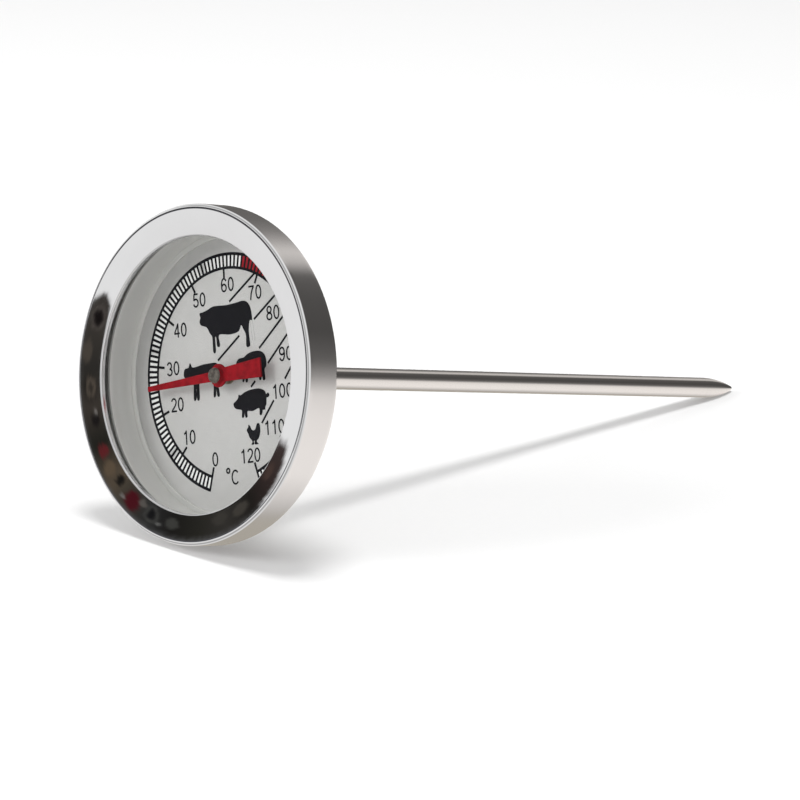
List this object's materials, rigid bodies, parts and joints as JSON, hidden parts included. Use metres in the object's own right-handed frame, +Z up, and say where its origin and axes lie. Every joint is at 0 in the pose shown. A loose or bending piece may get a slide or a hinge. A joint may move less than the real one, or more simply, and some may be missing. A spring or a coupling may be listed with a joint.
{
  "type": "dial meat thermometer",
  "caption": "Round steel dial thermometer with a long pointed probe stem, a red needle on a printed dial behind glass, lying on its rim and point.",
  "frame": {"origin": "centre of the bounding box on the surface the thermometer lies on", "axes": "+Z up, +Y horizontal from the dial towards the point of the stem, +X to the right for a reader of the dial; the instrument axis dips by 11.51 degrees towards +Y"},
  "size_m": [0.052, 0.1322, 0.0518],
  "materials": {
    "polished_steel": "mirror polished stainless steel",
    "satin_steel": "satin stainless steel",
    "stem_steel": "bright drawn stainless tube",
    "turned_steel": "turned steel",
    "brass": "turned brass",
    "bimetal_strip": "rolled bimetal strip",
    "black_seal": "black elastic seal",
    "window_glass": "clear flat glass",
    "dial_face": "matt silver, fine horizontal grain",
    "dial_print": "black screen print",
    "print_white": "white screen print",
    "print_red": "dark red screen print",
    "red_paint": "satin red paint",
    "hub_metal": "dull riveted steel"
  },
  "bodies": {
    "case": {"bezel_ring": "polished_steel", "lens_gasket": "black_seal", "glass_lens": "window_glass", "spacer_ring": "satin_steel", "dial_retainer": "satin_steel", "dial_plate": "dial_face", "dial_bush": "brass", "case_back": "satin_steel", "stem_bush": "turned_steel", "clamp_ring": "turned_steel", "stem_tube": "stem_steel", "stem_tip": "stem_steel", "upper_guide": "brass", "lower_guide": "brass", "coil_anchor": "turned_steel", "bimetal_coil": "bimetal_strip"},
    "movement": {"pointer": "red_paint", "pointer_hub": "hub_metal", "spindle": "turned_steel", "coil_collar": "turned_steel"}
  },
  "joints": [
    {"name": "needle_turn", "type": "hinge", "parent": "case", "child": "movement", "pos_m": [0, -0.06102, 0.02642], "axis": [0, 0.9799, -0.1995], "range_deg": [-69.8, 254.2], "stiffness_Nm_per_rad": 0.000002, "deforming": ["bimetal_coil"]}
  ]
}
